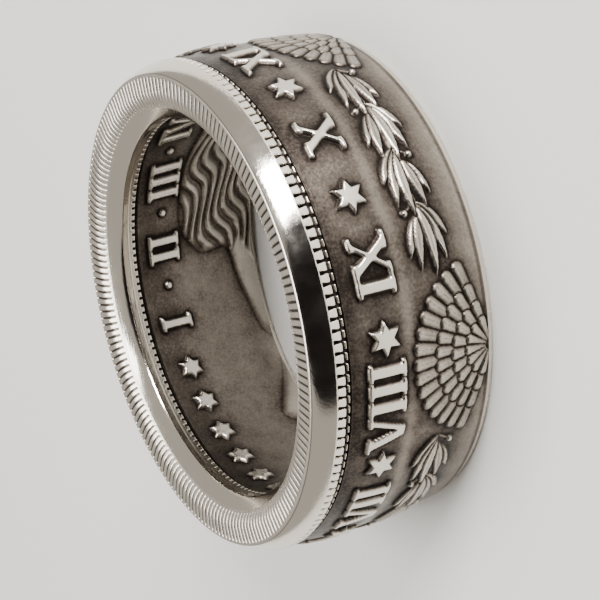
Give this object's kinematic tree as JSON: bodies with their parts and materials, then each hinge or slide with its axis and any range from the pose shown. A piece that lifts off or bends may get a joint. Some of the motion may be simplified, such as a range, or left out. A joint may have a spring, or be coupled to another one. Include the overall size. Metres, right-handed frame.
{
  "type": "coin ring",
  "caption": "Wide finger ring folded from a coin, with a reeded edge face, denticles, raised numerals, leaf sprays and fans, and a relief head inside.",
  "frame": {"origin": "centre of the ring on the plane that its cut edge rests on", "axes": "+Z along the ring's axis, from the cut edge up to the reeded face; -Y towards the side that the picture shows"},
  "size_m": [0.0286, 0.0286, 0.0108],
  "materials": {
    "silver": "worn and polished coin silver, warm grey, with brown-black tarnish in the recesses"
  },
  "bodies": {
    "root": {"coin_ring": "silver"}
  },
  "joints": []
}
